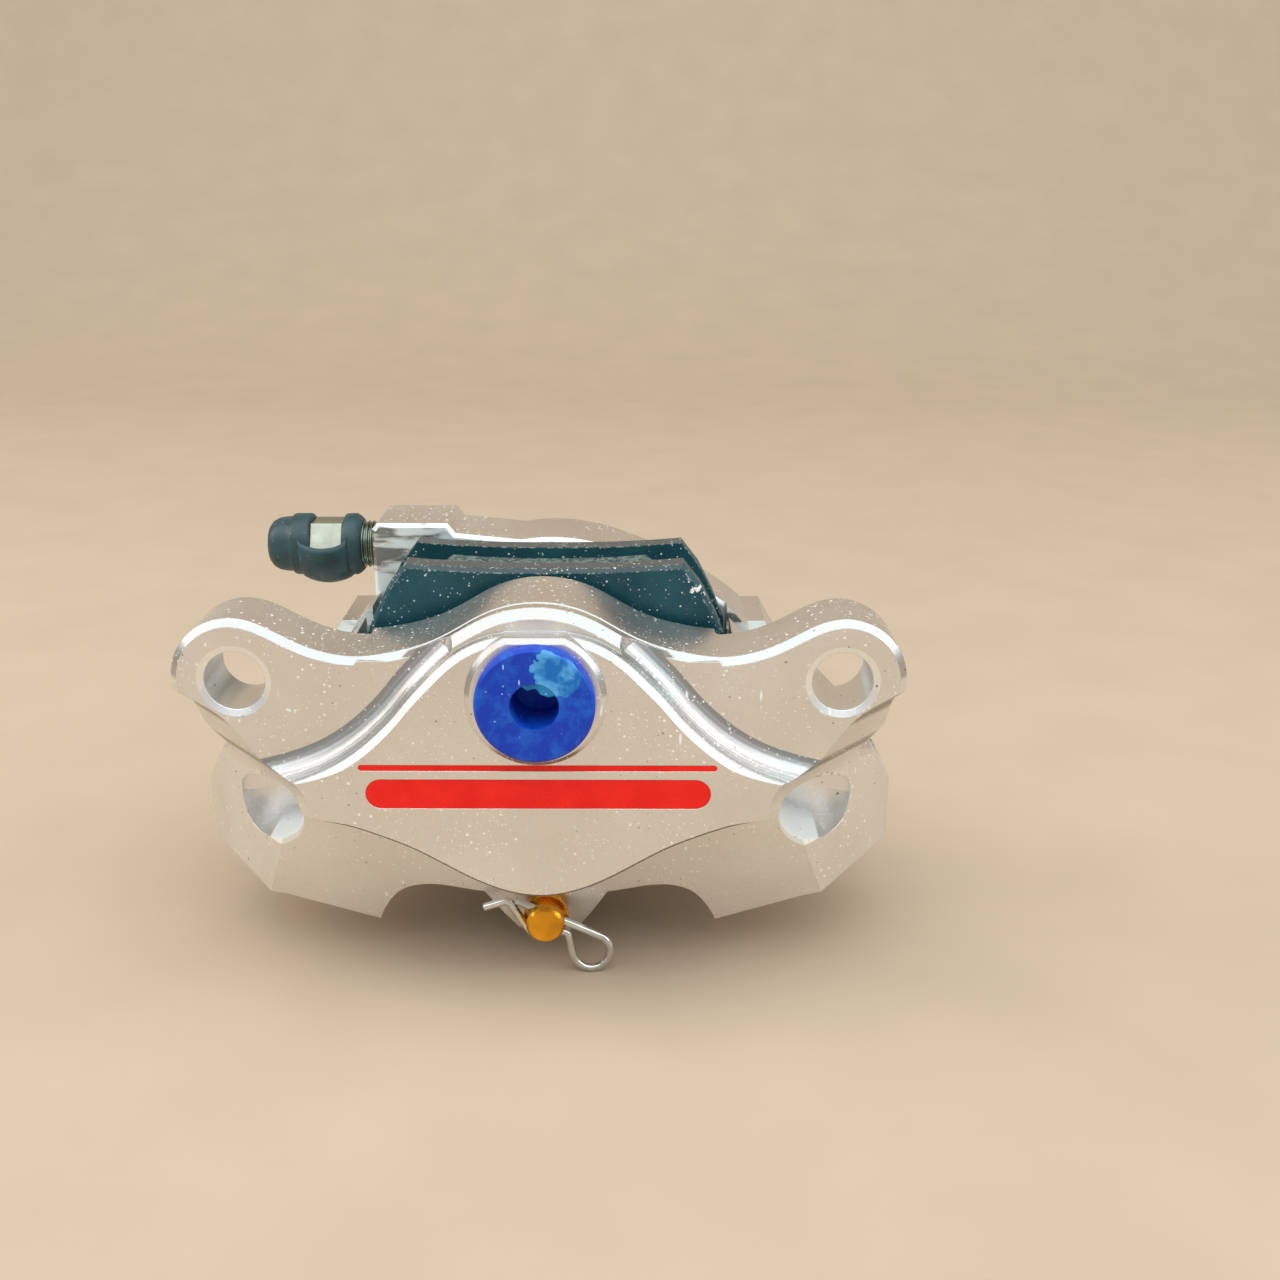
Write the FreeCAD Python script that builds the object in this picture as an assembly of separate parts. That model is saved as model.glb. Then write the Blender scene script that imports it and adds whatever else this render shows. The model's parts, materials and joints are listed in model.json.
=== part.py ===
import FreeCAD, Part
import math
import os

from FreeCAD import Vector

os.makedirs("parts", exist_ok=True)

# Own frame: X to the right, Y from the mounting side to the rear side, Z up.
# The origin is midway between the two mounting holes, on the front face of the ears.
# All lengths are in millimetres.

# Mounting ears
HOLE_SPACING = 84.0
HOLE_R = 4.25
HOLE_CHAMFER = 0.95
HOLE_CHAMFER_DEPTH = 0.45
EAR_R = 8.9
EAR_THICKNESS = 10.7
EAR_CHAMFER = 1.0

# Overall body
FACE_Y = -5.0
ARCH_Y = -2.8
ARCH_TOP = 11.3
INNER_Y = 13.4
PARTING_Y = 23.5
REAR_INNER_Y = 2 * PARTING_Y - INNER_Y
REAR_BACK_Y = 47.2
REAR_CHAMFER = 0.6
HALF_WIDTH = 52.7
FACET_X = 36.0
FACET_SLOPE = 0.9
FOOT_LEAN = 0.378
FOOT_LEAN_Z = -19.0
FOOT_Z = -41.5
LUG_Z = -44.6
COVE_R = 4.1
COVE_EDGE = 0.9
COVE_LAST_ANGLE = 78.0
LOWER_CHAMFER = 0.4
ARCH_CHAMFER = 1.3
END_X = 26.6
END_SLOPE = 0.11

# Hydraulics
PISTON_R = 15.0
PISTON_GAP = 0.04
PISTON_Z = -13.0
BORE_FLOOR_Y = 1.6
PISTON_REAR_GAP = 2.3
PISTON_TRAVEL = 1.9
SEAL_DEPTH = 2.6
DUST_DEPTH = 2.0
CROSS_X = -29.0
CROSS_Z = -34.2
CROSS_R = 1.25
ORING_R = 2.1
ORING_WIRE_R = 0.7

# Pads
PLATE_THICKNESS = 3.8
LINING_THICKNESS = 4.2
PLATE_Y = INNER_Y + 2.0
PAD_TOP = 12.5
PAD_DIP = 0.8
LINING_TOP = PAD_TOP - 1.9
PAD_HALF = 27.0
DISC_R = 111.5
DISC_Z = 79.0
DISC_SLOT = 5.2

# Pad pin and clip
PIN_Z = -39.4
PIN_R = 2.85
PIN_FRONT_Y = 2.0
CLIP_Y = 4.4
CLIP_WIRE_R = 0.6
CLIP_EYE = (6.7, -44.9)
CLIP_EYE_R = 2.9
CLIP_LEG_ANGLE = 64.5

# Inlet port
PORT_Z = -0.4
PORT_R = 4.6
BOSS_R = 9.6
BOSS_Y = -6.2
BOSS_FLAT_Z = 8.3
PLUG_R = 8.1
PLUG_FACE_Y = -8.4
PLUG_HOLE_R = 3.3

# Bleed screw
BLEED_Y = 41.5
BLEED_Z = 8.6
BLEED_FACE_X = -28.4

# Bridge bolts
BOLT_R = 3.0
BOLT_HEAD_R = 4.9
BOLT_SPOTS = ((34.6, -31.6), (43.4, -28.6))
BOLT_HEAD_Y = 28.2
BOLT_END_Y = 14.2

# Side pockets
POCKET_Y = 11.4
POCKET_DEEP_Y = 13.0


def vec(x, y, z):
    return Vector(x, y, z)


def box(x0, x1, y0, y1, z0, z1):
    return Part.makeBox(x1 - x0, y1 - y0, z1 - z0, vec(x0, y0, z0))


def cyl_y(x, z, r, y0, y1):
    return Part.makeCylinder(r, y1 - y0, vec(x, y0, z), vec(0, 1, 0))


def cyl_x(y, z, r, x0, x1):
    return Part.makeCylinder(r, x1 - x0, vec(x0, y, z), vec(1, 0, 0))


def cone_y(x, z, r0, r1, y0, y1):
    return Part.makeCone(r0, r1, y1 - y0, vec(x, y0, z), vec(0, 1, 0))


def mirror_x(shape):
    return shape.mirror(vec(0, 0, 0), vec(1, 0, 0))


def both_sides(points):
    left = [(-x, z) for x, z in reversed(points) if x > 1e-6]
    return left + list(points)


def polygon(points, y):
    corners = [vec(x, y, z) for x, z in points]
    return Part.makePolygon(corners + [corners[0]])


def prism(points, y0, y1):
    face = Part.Face(polygon(points, y0))
    return face.extrude(vec(0, y1 - y0, 0))


def curve_edge(points, y):
    curve = Part.BSplineCurve()
    curve.interpolate([vec(x, y, z) for x, z in points])
    return curve.toShape()


def curved_wire(curve_points, corner_points, y):
    first = vec(curve_points[0][0], y, curve_points[0][1])
    last = vec(curve_points[-1][0], y, curve_points[-1][1])
    corners = [last] + [vec(x, y, z) for x, z in corner_points] + [first]
    edges = [curve_edge(curve_points, y)]
    for a, b in zip(corners, corners[1:]):
        edges.append(Part.makeLine(a, b))
    return Part.Wire(edges)


def curved_prism(curve_points, corner_points, y0, y1):
    face = Part.Face(curved_wire(curve_points, corner_points, y0))
    return face.extrude(vec(0, y1 - y0, 0))


def mixed_edges(pieces, y):
    # Each piece is ("line", points) or ("curve", points) and starts where the last one ended.
    edges = []
    for kind, points in pieces:
        if kind == "curve":
            edges.append(curve_edge(points, y))
        else:
            corners = [vec(x, y, z) for x, z in points]
            for a, b in zip(corners, corners[1:]):
                edges.append(Part.makeLine(a, b))
    return edges


def mirrored_prism(pieces, y0, y1):
    # The pieces are the right half of an outline that starts and ends on X = 0.
    first = pieces[0][1][0]
    last = pieces[-1][1][-1]
    edges = mixed_edges(pieces, y0) + [Part.makeLine(vec(last[0], y0, last[1]), vec(first[0], y0, first[1]))]
    right = Part.Face(Part.Wire(edges)).extrude(vec(0, y1 - y0, 0))
    return right.fuse(mirror_x(right)).removeSplitter()


def closed_prism(points, y0, y1):
    # Smooth closed outline through the points.
    curve = Part.BSplineCurve()
    curve.interpolate([vec(x, y0, z) for x, z in points], PeriodicFlag=True)
    face = Part.Face(Part.Wire([curve.toShape()]))
    return face.extrude(vec(0, y1 - y0, 0))


def offset_points(points, distance):
    # Moves every point of an open curve to its left by the distance.
    moved = []
    for i, (x, z) in enumerate(points):
        x0, z0 = points[max(i - 1, 0)]
        x1, z1 = points[min(i + 1, len(points) - 1)]
        tx = x1 - x0
        tz = z1 - z0
        size = math.hypot(tx, tz)
        moved.append((x - distance * tz / size, z + distance * tx / size))
    return moved


# ---- Outlines in the XZ plane ----

def top_curve():
    # Arch in the middle, a dip on each side, then the round ears.
    half = [(0, ARCH_TOP), (3.5, 10.95), (6.2, 10.15), (8.8, 8.9), (11.4, 7.35), (14.2, 5.9),
            (17.6, 4.65), (21.2, 3.85), (24.8, 3.4), (28.2, 3.7), (31.8, 4.75), (35.2, 6.4),
            (38.4, 8.05)]
    ear_x = HOLE_SPACING / 2
    for angle in range(88, -31, -14):
        a = math.radians(angle)
        half.append((ear_x + EAR_R * math.cos(a), EAR_R * math.sin(a)))
    return both_sides(half)


def bell_curve():
    # Upper edge of the raised face, from its left end over the inlet boss to its right end.
    half = [(0, 7.35), (3.3, 7.2), (6.5, 6.6), (9.5, 5.2), (12.0, 3.3), (14.4, 0.9), (16.8, -1.7),
            (19.0, -4.4), (21.5, -7.0), (24.0, -9.2), (26.7, -11.1), (29.6, -12.7), (34.0, -14.4),
            (38.5, -15.6)]
    return both_sides(half)


def face_lower_curve():
    half = [(0, -30.6), (5.3, -29.7), (9.5, -27.9), (14.0, -25.3), (18.1, -23.0), (22.3, -21.2),
            (26.4, -19.75), (31.0, -18.8), (38.0, -18.4)]
    return both_sides(half)


def ear_side_curve():
    # Front line of the slanted cut that trims each ear from below, on the plane Y = 0.
    return [(58.0, 0.6), (54.0, -0.2), (50.0, -1.5), (47.8, -2.8), (45.7, -4.1), (44.1, -5.4),
            (42.9, -6.7), (41.6, -8.5), (40.5, -10.1), (39.2, -11.8), (37.6, -13.4),
            (36.3, -15.6), (FACET_X, -18.0)]


def foot_outline():
    return [(31.5, -3.0), (38.0, -9.0), (49.2, -16.2), (HALF_WIDTH, -22.6), (HALF_WIDTH, -32.6),
            (38.8, -36.2), (25.5, FOOT_Z)]


def scallop_points():
    # Round notch between a foot and the pin lug, from the foot inwards.
    return [(25.5, FOOT_Z), (23.5, -37.4), (21.3, -35.1), (18.0, -34.1), (13.6, -34.6), (9.2, -35.6)]


def lug_outline():
    # Tapered lug that holds the pad pin.
    lines = [(9.2, -35.6), (6.6, -40.2), (4.6, -43.2)]
    end = [(4.6, -43.2), (2.6, LUG_Z + 0.25), (0, LUG_Z)]
    return [("line", lines), ("curve", end)]


def lower_outline(first_points):
    # Right half outline from the given points round the foot and scallop to the lug.
    return [("line", first_points), ("curve", scallop_points())] + lug_outline()


def ledge_curve():
    # Edge of the arch ledge, where the channel beside the raised face runs out over the top.
    half = [(9.9, 15.0), (10.4, 9.4), (11.6, 5.0), (12.8, 0.6), (13.2, -6.0)]
    return both_sides(half)


def pocket_outline():
    return [(33.6, -18.8), (34.3, -16.6), (36.9, -15.5), (39.6, -15.9), (42.6, -17.2), (45.2, -19.4),
            (45.4, -22.2), (44.2, -25.3), (41.6, -26.3), (38.6, -25.3), (36.0, -24.0), (34.2, -21.9)]


# ---- Shared cuts ----

def side_cutter():
    # The region outside the ear side line, pushed along the slanted direction.
    front = -12.0
    back = 40.0
    curve = [(x + FACET_SLOPE * front, z) for x, z in ear_side_curve()]
    corners = [(FACET_X + FACET_SLOPE * front, -60.0), (90.0, -60.0), (90.0, 0.6)]
    face = Part.Face(curved_wire(curve, corners, front))
    return face.extrude(vec(FACET_SLOPE * (back - front), back - front, 0))


def foot_cutter():
    # Wedge in front of the leaning foot faces, below the raised face.
    z_low = -60.0
    y_low = -0.5 + (FOOT_LEAN_Z - z_low) * FOOT_LEAN
    y_high = -0.5 - 30.0 * FOOT_LEAN
    points = [vec(-70, y_low, z_low), vec(-70, y_high, FOOT_LEAN_Z + 30.0),
              vec(-70, -60, FOOT_LEAN_Z + 30.0), vec(-70, -60, z_low)]
    face = Part.Face(Part.makePolygon(points + [points[0]]))
    return face.extrude(vec(140, 0, 0))


def disc_slot():
    half = DISC_SLOT / 2
    return cyl_y(0, DISC_Z, DISC_R, PARTING_Y - half, PARTING_Y + half)


def pad_cavity():
    # Space between the abutments that the pads slide in.
    half = PAD_HALF + 0.4
    outline = both_sides([(half, 40), (half, -14.1), (24.3, -21.95), (24.3, -60)])
    return prism(outline, INNER_Y, 2 * PARTING_Y - INNER_Y)


# ---- Front half ----

def edged_prism(curve, low_z, y0, y1, front, back):
    # Block under a smooth curve, with a chamfer of the given size on its front and back edge.
    def section(distance, y):
        pts = offset_points(curve, -distance)
        return curved_wire(pts, [(pts[-1][0], low_z), (pts[0][0], low_z)], y)

    ends = [(curve[-1][0], low_z), (curve[0][0], low_z)]
    body = curved_prism(curve, ends, y0 + front, y1 - back)
    if front > 0:
        body = body.fuse(Part.makeLoft([section(front, y0), section(0.0, y0 + front)], True, True))
    if back > 0:
        body = body.fuse(Part.makeLoft([section(0.0, y1 - back), section(back, y1)], True, True))
    return body


def top_block(y0, y1, chamfer):
    return edged_prism(top_curve(), -16.5, y0, y1, chamfer, 0.0)


def cove_loft(curve, low_z, start_y, first_angle, start_distance):
    # Concave wall that falls from the plane start_y to the plane of the ears.
    a0 = math.radians(first_angle)
    a1 = math.radians(COVE_LAST_ANGLE)
    sections = []

    def section(distance, y):
        pts = offset_points(curve, distance)
        return curved_wire(pts, [(pts[-1][0], low_z), (pts[0][0], low_z)], y)

    for step in range(6):
        a = a0 + (a1 - a0) * step / 5
        distance = start_distance + COVE_R * (math.cos(a0) - math.cos(a))
        y = start_y + COVE_R * (math.sin(a) - math.sin(a0))
        sections.append(section(distance, y))
    sections.append(section(distance + math.sin(a1), y + math.cos(a1)))
    return Part.makeLoft(sections, True, False)


def raised_face():
    # Raised centre with a chamfer and a concave wall down to the ear plane.
    bell = bell_curve()
    edge = offset_points(bell, COVE_EDGE)
    low = [(bell[-1][0], -17.5), (bell[0][0], -17.5)]
    low_edge = [(edge[-1][0], -17.5), (edge[0][0], -17.5)]
    chamfer = Part.makeLoft([curved_wire(bell, low, FACE_Y), curved_wire(edge, low_edge, FACE_Y + 1.0)],
                            True, True)
    return chamfer.fuse(cove_loft(bell, -17.5, FACE_Y + 1.0, 0.0, COVE_EDGE))


def lower_face():
    # Lower part of the raised face, with a small chamfer along its edge.
    outer = face_lower_curve()
    inner = offset_points(outer, LOWER_CHAMFER)
    sides = [(38.0, -17.0), (-38.0, -17.0)]
    body = curved_prism(outer, sides, FACE_Y + LOWER_CHAMFER, 6.0)
    wires = [curved_wire(inner, sides, FACE_Y), curved_wire(outer, sides, FACE_Y + LOWER_CHAMFER)]
    return body.fuse(Part.makeLoft(wires, True, True))


def end_cutter():
    # Shallow facet at each end of the raised face.
    points = [vec(END_X, FACE_Y, -60), vec(END_X + 20, FACE_Y + 20 * END_SLOPE, -60),
              vec(END_X + 20, FACE_Y - 5, -60), vec(END_X, FACE_Y - 5, -60)]
    face = Part.Face(Part.makePolygon(points + [points[0]]))
    return face.extrude(vec(0, 0, 90))


def arch_ledge():
    # Step above the inlet boss, which ends in the same concave wall as the raised face.
    start = math.degrees(math.asin((ARCH_Y - FACE_Y - 1.0) / COVE_R))
    wall = cove_loft(ledge_curve(), -9.0, ARCH_Y, start, 0.0)
    return top_block(ARCH_Y, 1.0, ARCH_CHAMFER).common(wall)


def front_crown():
    # The arch carried back to the pad gap.
    low = [(60.0, -16.5), (-60.0, -16.5)]
    crown = curved_prism(top_curve(), low, EAR_CHAMFER, INNER_Y)
    return crown.common(box(-24.8, 24.8, 0, 20, -16.5, 20))


def front_body():
    # Central wall with the foot plates and the pin lug, in front of the pads.
    start = [(0, 3.0), (24.8, 3.0)] + foot_outline()
    return mirrored_prism(lower_outline(start), 0.0, INNER_Y)


def bridge(horn, y0, y1):
    # Solid block beside the pads, which joins the two halves.
    start = horn[-1]
    feet = [start] + foot_outline()[1:] + [(24.4, -40.0), (24.4, horn[0][1])]
    edges = mixed_edges([("curve", horn), ("line", feet)], y0)
    right = Part.Face(Part.Wire(edges)).extrude(vec(0, y1 - y0, 0))
    return right.fuse(mirror_x(right))


def piston_bore(floor_y, mouth_y, sign):
    # sign is +1 for the front half, whose bore opens towards +Y.
    r = PISTON_R + PISTON_GAP
    lo, hi = sorted((floor_y, mouth_y))
    bore = cyl_y(0, PISTON_Z, r, lo, hi)
    seal = sorted((mouth_y - sign * 6.3, mouth_y - sign * 3.9))
    dust = sorted((mouth_y - sign * 2.6, mouth_y - sign * 1.0))
    bore = bore.fuse(cyl_y(0, PISTON_Z, r + SEAL_DEPTH, seal[0], seal[1]))
    bore = bore.fuse(cyl_y(0, PISTON_Z, r + DUST_DEPTH, dust[0], dust[1]))
    return bore


def cross_drill(sign):
    start = vec(CROSS_X, PARTING_Y, CROSS_Z)
    end = vec(-10.5, PARTING_Y - sign * 20.3, -21.0)
    run = end - start
    return Part.makeCylinder(CROSS_R, run.Length, start, run)


def oring_groove():
    depth = 2 * ORING_WIRE_R
    return cyl_y(CROSS_X, CROSS_Z, ORING_R + ORING_WIRE_R + 0.02, PARTING_Y - depth, PARTING_Y)


def side_pocket():
    # Rounded pocket in the slanted side face, whose lower half is deeper.
    pocket = closed_prism(pocket_outline(), -14.0, POCKET_Y)
    low_part = prism([(30.0, -19.6), (50.0, -22.4), (50.0, -40.0), (30.0, -40.0)], 0.0, POCKET_DEEP_Y)
    deep = closed_prism(pocket_outline(), 0.0, POCKET_DEEP_Y).common(low_part)
    return pocket.fuse(deep)


def stripe_shape(y0, y1):
    # Two plain bars with round ends, the upper one long and thin.
    long_bar = rounded_bar(24.6, 0.9, -10.7, y0, y1)
    wide_bar = rounded_bar(23.8, 4.4, -14.6, y0, y1)
    return long_bar, wide_bar


def rounded_bar(half_length, height, z_mid, y0, y1):
    r = height / 2
    bar = box(-half_length + r, half_length - r, y0, y1, z_mid - r, z_mid + r)
    bar = bar.fuse(cyl_y(-half_length + r, z_mid, r, y0, y1))
    bar = bar.fuse(cyl_y(half_length - r, z_mid, r, y0, y1))
    return bar.removeSplitter()


def inlet_boss():
    # Round boss with a flat top and a chamfered front edge.
    boss = cone_y(0, PORT_Z, BOSS_R - 0.7, BOSS_R, BOSS_Y, BOSS_Y + 0.7)
    boss = boss.fuse(cyl_y(0, PORT_Z, BOSS_R, BOSS_Y + 0.7, -1.0))
    above = [vec(-20, BOSS_Y - 1, BOSS_FLAT_Z - 1.7), vec(-20, BOSS_Y + 0.7, BOSS_FLAT_Z),
             vec(-20, 0, BOSS_FLAT_Z), vec(-20, 0, 20), vec(-20, BOSS_Y - 1, 20)]
    face = Part.Face(Part.makePolygon(above + [above[0]]))
    return boss.cut(face.extrude(vec(40, 0, 0)))


def front_holes():
    holes = []
    depth = HOLE_CHAMFER_DEPTH
    for sx in (-1, 1):
        x = sx * HOLE_SPACING / 2
        holes.append(cyl_y(x, 0, HOLE_R, -1, EAR_THICKNESS + 1))
        holes.append(cone_y(x, 0, HOLE_R + HOLE_CHAMFER, HOLE_R, 0, depth))
        holes.append(cone_y(x, 0, HOLE_R, HOLE_R + 0.6, EAR_THICKNESS - 0.6, EAR_THICKNESS))
        for bx, bz in BOLT_SPOTS:
            holes.append(cyl_y(sx * bx, bz, BOLT_R, BOLT_END_Y - 0.6, PARTING_Y + 1))
    pocket = side_pocket()
    holes += [pocket, mirror_x(pocket)]
    holes.append(cyl_y(0, PORT_Z, PORT_R, BOSS_Y - 1, 6.0))
    holes.append(cyl_y(0, PIN_Z, PIN_R + 0.06, 0, INNER_Y + 1))
    holes.append(piston_bore(BORE_FLOOR_Y, INNER_Y + 1e-3, 1))
    holes += [cross_drill(1), oring_groove(), disc_slot(), pad_cavity()]
    holes += stripe_shape(FACE_Y - 1, FACE_Y + 0.3)
    return holes


def front_half():
    ears = top_block(0.0, EAR_THICKNESS, EAR_CHAMFER)
    whole_top = curved_prism(top_curve(), [(60, -20), (-60, -20)], FACE_Y, 1.0)
    raised = raised_face().common(whole_top)
    horn = [(24.4, 4.4), (27.0, 3.0), (29.3, 0.4), (31.3, -3.6)]
    blocks = bridge(horn, INNER_Y, PARTING_Y)
    body = ears.fuse([front_crown(), front_body(), blocks, raised, lower_face(), arch_ledge()])
    body = body.fuse(inlet_boss())
    cutter = side_cutter()
    ends = end_cutter()
    body = body.cut([cutter, mirror_x(cutter), ends, mirror_x(ends)])
    body = body.cut(foot_cutter().cut(raised_keep()))
    return body.cut(front_holes()).removeSplitter()


def raised_keep():
    # Everything above the lower edge of the raised face stays.
    return curved_prism(face_lower_curve(), [(38.0, 40.0), (-38.0, 40.0)], -60.0, 60.0)


# ---- Rear half ----

def mirror_y(shape):
    return shape.mirror(vec(0, PARTING_Y, 0), vec(0, 1, 0))


def rear_top():
    half = [(0, 11.7), (4.0, 11.4), (8.0, 10.6), (12.0, 9.3), (16.0, 7.6), (20.0, 5.6), (24.0, 3.3),
            (27.6, 0.9), (30.4, -1.4), (32.8, -4.2), (34.6, -7.4)]
    return both_sides(half)


def front_edges(shape, y):
    # Edges that lie in the plane at this Y.
    return [e for e in shape.Edges if abs(e.BoundBox.YMin - y) < 1e-3 and abs(e.BoundBox.YMax - y) < 1e-3]


def rear_wall():
    # Lower part with the feet, and an upper part with chamfered edges.
    low = [("line", [(0, -2.0), (34.0, -2.0)] + foot_outline()[1:]), ("curve", scallop_points())]
    lower = mirrored_prism(low + lug_outline(), REAR_INNER_Y, REAR_BACK_Y)
    upper = edged_prism(rear_top(), -18.0, REAR_INNER_Y, REAR_BACK_Y, REAR_CHAMFER, REAR_CHAMFER)
    return lower.fuse(upper)


def bleed_boss():
    points = [(BLEED_FACE_X, -6.0), (BLEED_FACE_X, 12.9), (-27.4, 13.9), (-16.4, 13.9),
              (-15.2, 12.3), (-4.0, 11.2), (-4.0, 0.0)]
    block = prism(points, REAR_INNER_Y, 47.0)
    edges = [e for y in (REAR_INNER_Y, 47.0) for e in front_edges(block, y)
             if e.BoundBox.ZMin > 11.0 or e.BoundBox.XMax < BLEED_FACE_X + 0.01]
    return block.makeChamfer(REAR_CHAMFER, edges)


def rear_pad():
    # Raised pad on the rear face, over the piston.
    outline = both_sides([(17.5, 3.0), (23.0, -3.0), (26.0, -12.0), (23.0, -22.0), (12.0, -30.5),
                          (5.0, -32.0)])
    inner = [(x * 0.95, (z - PISTON_Z) * 0.95 + PISTON_Z) for x, z in outline]
    back = 2 * PARTING_Y - FACE_Y
    raised = prism(outline, 46.0, back - 1.0)
    edge = Part.makeLoft([polygon(outline, back - 1.0), polygon(inner, back)], True, True)
    return raised.fuse(edge)


def rear_holes():
    holes = []
    for sx in (-1, 1):
        for bx, bz in BOLT_SPOTS:
            holes.append(cyl_y(sx * bx, bz, BOLT_R + 0.25, PARTING_Y - 1, 60))
            holes.append(cyl_y(sx * bx, bz, BOLT_HEAD_R + 0.2, BOLT_HEAD_Y, 60))
    holes.append(cyl_y(0, PIN_Z, PIN_R + 0.06, REAR_INNER_Y - 1, 60))
    holes.append(piston_bore(2 * PARTING_Y - BORE_FLOOR_Y, REAR_INNER_Y - 1e-3, -1))
    holes += [cross_drill(-1), disc_slot(), pad_cavity()]
    holes.append(cyl_x(BLEED_Y, BLEED_Z, 3.45, BLEED_FACE_X - 1, -16.0))
    holes.append(cyl_x(BLEED_Y, BLEED_Z, 1.4, -17.0, -9.0))
    holes.append(Part.makeCylinder(1.2, 12.0, vec(-10.0, BLEED_Y, BLEED_Z), vec(0.35, 0.1, -1)))
    return holes


def rear_half():
    horn = [(24.4, 4.4), (27.2, 2.9), (29.8, 0.4), (31.8, -3.6)]
    blocks = bridge(horn, PARTING_Y, REAR_INNER_Y)
    body = rear_wall().fuse([blocks, bleed_boss(), rear_pad()])
    cutter = mirror_y(side_cutter())
    foot = mirror_y(foot_cutter())
    lean_keep = prism(both_sides([(60, 40), (60, -19), (26, -22), (12, -30.5), (5, -32)]), 30, 90)
    body = body.cut([cutter, mirror_x(cutter)])
    body = body.cut(foot.cut(lean_keep))
    return body.cut(rear_holes()).removeSplitter()


# ---- Pistons and seals ----

def piston(contact_y, sign):
    # Cup piston: the open end meets the pad plate, the closed end faces the fluid.
    back = contact_y - sign * (13.8 - PISTON_REAR_GAP)
    y0, y1 = sorted((contact_y, back))
    body = cyl_y(0, PISTON_Z, PISTON_R, y0, y1)
    c0, c1 = sorted((contact_y + sign * 0.5, back + sign * 3.2))
    body = body.cut(cyl_y(0, PISTON_Z, PISTON_R - 3.2, c0, c1))
    return body.makeChamfer(0.4, front_edges(body, back))


def ring(r_in, r_out, y0, y1):
    return cyl_y(0, PISTON_Z, r_out, y0, y1).cut(cyl_y(0, PISTON_Z, r_in, y0 - 1, y1 + 1))


def pressure_seal(mouth_y, sign):
    y0, y1 = sorted((mouth_y - sign * 6.25, mouth_y - sign * 3.95))
    return ring(PISTON_R + 0.02, PISTON_R + PISTON_GAP + SEAL_DEPTH - 0.02, y0, y1)


def dust_seal(mouth_y, sign):
    y0, y1 = sorted((mouth_y - sign * 2.55, mouth_y - sign * 1.05))
    outer = PISTON_R + PISTON_GAP + DUST_DEPTH - 0.02
    seal = ring(PISTON_R + 0.02, outer, y0, y1)
    groove = sorted((mouth_y - sign * 1.55, mouth_y - sign * 1.0))
    return seal.cut(ring(PISTON_R + 0.7, PISTON_R + 1.3, groove[0], groove[1]))


def crossover_o_ring():
    y = PARTING_Y - ORING_WIRE_R
    return Part.makeTorus(ORING_R, ORING_WIRE_R, vec(CROSS_X, y, CROSS_Z), vec(0, 1, 0))


# ---- Pads ----

def pad_outline():
    top = [(20.3, PAD_TOP), (23.0, 9.0), (25.2, 4.6), (PAD_HALF, 0.0), (PAD_HALF, -14.0),
           (23.6, -22.6), (15.0, -30.2), (8.0, -33.0), (5.9, -37.0), (5.7, -40.5), (3.4, -43.9)]
    return top


def pad_plate(y0, y1, outer_y):
    half = pad_outline()
    dip = [(-20.3, PAD_TOP), (-10.0, PAD_TOP - 0.65), (0, PAD_TOP - PAD_DIP),
           (10.0, PAD_TOP - 0.65), (20.3, PAD_TOP)]
    corners = half[1:] + [(-x, z) for x, z in reversed(half[1:])]
    plate = curved_prism(dip, corners, y0, y1)
    plate = plate.makeChamfer(0.6, front_edges(plate, outer_y))
    return plate.cut(cyl_y(0, PIN_Z, PIN_R + 0.35, y0 - 1, y1 + 1))


def pad_lining(y0, y1):
    top = [(-14.8, LINING_TOP), (-8.0, LINING_TOP - 0.45), (0, LINING_TOP - 0.6),
           (8.0, LINING_TOP - 0.45), (14.8, LINING_TOP)]
    side = [(17.6, 8.4), (23.6, 2.6), (25.0, -0.6), (25.0, -13.6), (21.6, -22.0), (18.0, -40.0)]
    corners = side + [(-x, z) for x, z in reversed(side)]
    lining = curved_prism(top, corners, y0, y1)
    return lining.common(cyl_y(0, DISC_Z, DISC_R - 3.2, y0 - 1, y1 + 1))


def pad_spring():
    # Thin leaf between the pad tails: a crown over the pin and two wings under the pads.
    t = 0.5
    y_mid = PARTING_Y
    upper = [(0, -35.6), (4.2, -35.2), (8.4, -33.9), (12.6, -33.0), (17.5, -30.1), (20.5, -30.3)]
    line = both_sides(upper)
    lower = offset_points(line, -t)
    wires = Part.makePolygon([vec(x, y_mid - 8.6, z) for x, z in line + list(reversed(lower))
                              + [line[0]]])
    leaf = Part.Face(wires).extrude(vec(0, 17.2, 0))
    for y0, y1 in ((y_mid - 9, y_mid - 3.7), (y_mid + 3.7, y_mid + 9)):
        leaf = leaf.cut(box(-9.6, 9.6, y0, y1, -40, -20))
    return leaf


# ---- Pin and clip ----

def pad_pin():
    rear_end = REAR_INNER_Y + 7.0
    pin = cyl_y(0, PIN_Z, PIN_R, PIN_FRONT_Y + 0.5, rear_end)
    pin = pin.fuse(cone_y(0, PIN_Z, PIN_R - 0.4, PIN_R, PIN_FRONT_Y, PIN_FRONT_Y + 0.5))
    pin = pin.fuse(cyl_y(0, PIN_Z, PIN_R + 0.5, 5.15, 5.75))
    groove_r = PIN_R - 0.5
    groove = cyl_y(0, PIN_Z, 10, CLIP_Y - 0.75, CLIP_Y + 0.75)
    pin = pin.cut(groove.cut(cyl_y(0, PIN_Z, groove_r, 0, 20)))
    pin = pin.cut(clip_leg(0.06))
    return pin.removeSplitter()


def around_circle(centre, r, angles):
    # Corners of the open polygon that touches the circle at these angles.
    corners = []
    for a0, a1 in zip(angles, angles[1:]):
        middle = math.radians((a0 + a1) / 2)
        reach = r / math.cos(math.radians((a1 - a0) / 2))
        corners.append((centre[0] + reach * math.cos(middle), centre[1] + reach * math.sin(middle)))
    return corners


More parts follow.
